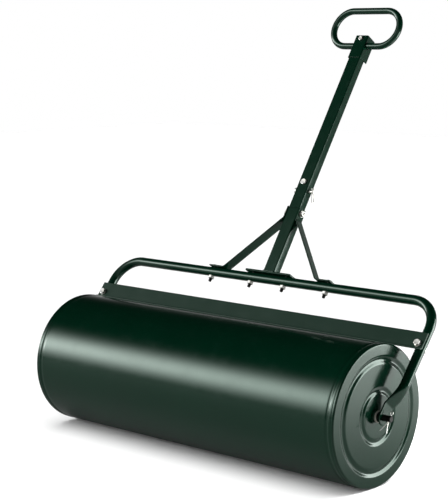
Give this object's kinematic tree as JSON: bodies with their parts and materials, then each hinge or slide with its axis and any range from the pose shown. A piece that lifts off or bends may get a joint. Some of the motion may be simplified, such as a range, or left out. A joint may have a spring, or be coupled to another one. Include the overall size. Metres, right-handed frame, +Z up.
{
  "type": "lawn roller",
  "caption": "Water-filled steel drum lawn roller with a tubular bow frame, drum scraper, braced square drawbar and a swivelling ring handle.",
  "frame": {"origin": "centre of the bounding box at floor level, under the whole object", "axes": "+Z up, +X along the drum's axis towards the end without the filler plug, +Y towards the handle"},
  "size_m": [0.978, 0.7256, 0.9998],
  "materials": {
    "green_paint": "gloss dark green enamel",
    "black_steel": "black oxide steel",
    "zinc_hardware": "zinc plated",
    "bush_nylon": "natural nylon",
    "seal_rubber": "matte",
    "plug_plastic": "satin black"
  },
  "bodies": {
    "frame": {"bow_frame": "green_paint", "axle_rod": "black_steel", "axle_spacer_left": "black_steel", "axle_spacer_right": "black_steel", "axle_washer_left": "black_steel", "axle_washer_right": "black_steel", "split_pin_left": "zinc_hardware", "split_pin_right": "zinc_hardware", "scraper_bar": "green_paint", "scraper_bolt_left": "zinc_hardware", "scraper_bolt_right": "zinc_hardware", "scraper_nut_left": "zinc_hardware", "scraper_nut_right": "zinc_hardware", "scraper_washer_left": "zinc_hardware", "scraper_washer_right": "zinc_hardware", "foot_plate": "green_paint", "plate_bolt_left": "black_steel", "plate_bolt_right": "black_steel", "plate_nut_left": "zinc_hardware", "plate_nut_right": "zinc_hardware", "brace_bolt_left": "black_steel", "brace_bolt_right": "black_steel", "brace_nut_left": "zinc_hardware", "brace_nut_right": "zinc_hardware", "drawbar_lower": "green_paint", "drawbar_upper": "green_paint", "drawbar_sleeve": "green_paint", "brace_left": "green_paint", "brace_right": "green_paint", "tie_bolt": "zinc_hardware", "tie_nut": "zinc_hardware", "tie_washer_left": "zinc_hardware", "tie_washer_right": "zinc_hardware", "clamp_bolt": "zinc_hardware", "clamp_nut": "zinc_hardware", "head_bracket": "green_paint", "head_bolt": "zinc_hardware", "head_nut": "zinc_hardware"},
    "drum": {"drum_shell": "green_paint", "end_cap_left": "green_paint", "end_cap_right": "green_paint", "axle_tube": "green_paint", "hub_bush_left": "bush_nylon", "hub_bush_right": "bush_nylon", "filler_boss": "green_paint", "filler_seal": "seal_rubber"},
    "filler_plug": {"filler_plug": "plug_plastic"},
    "ring_handle": {"ring_handle": "green_paint"},
    "lock_pin": {"lock_pin": "zinc_hardware"},
    "spring_clip": {"spring_clip": "zinc_hardware"}
  },
  "joints": [
    {"name": "drum_roll", "type": "hinge", "parent": "frame", "child": "drum", "pos_m": [0, -0.21042, 0.15238], "axis": [1, 0, 0], "continuous": true},
    {"name": "ring_swivel", "type": "hinge", "parent": "frame", "child": "ring_handle", "pos_m": [0, 0.31613, 0.90618], "axis": [1, 0, 0], "range_deg": [-165, 150]},
    {"name": "lock_pin_turn", "type": "hinge", "parent": "frame", "child": "lock_pin", "pos_m": [0, 0.0951, 0.56585], "axis": [1, 0, 0], "continuous": true},
    {"name": "spring_clip_pull", "type": "slide", "parent": "lock_pin", "child": "spring_clip", "axis": [0, 0, -1], "range_m": [0, 0.03]},
    {"name": "filler_plug_pull", "type": "slide", "parent": "drum", "child": "filler_plug", "axis": [-1, 0, 0], "range_m": [0, 0.035]}
  ]
}
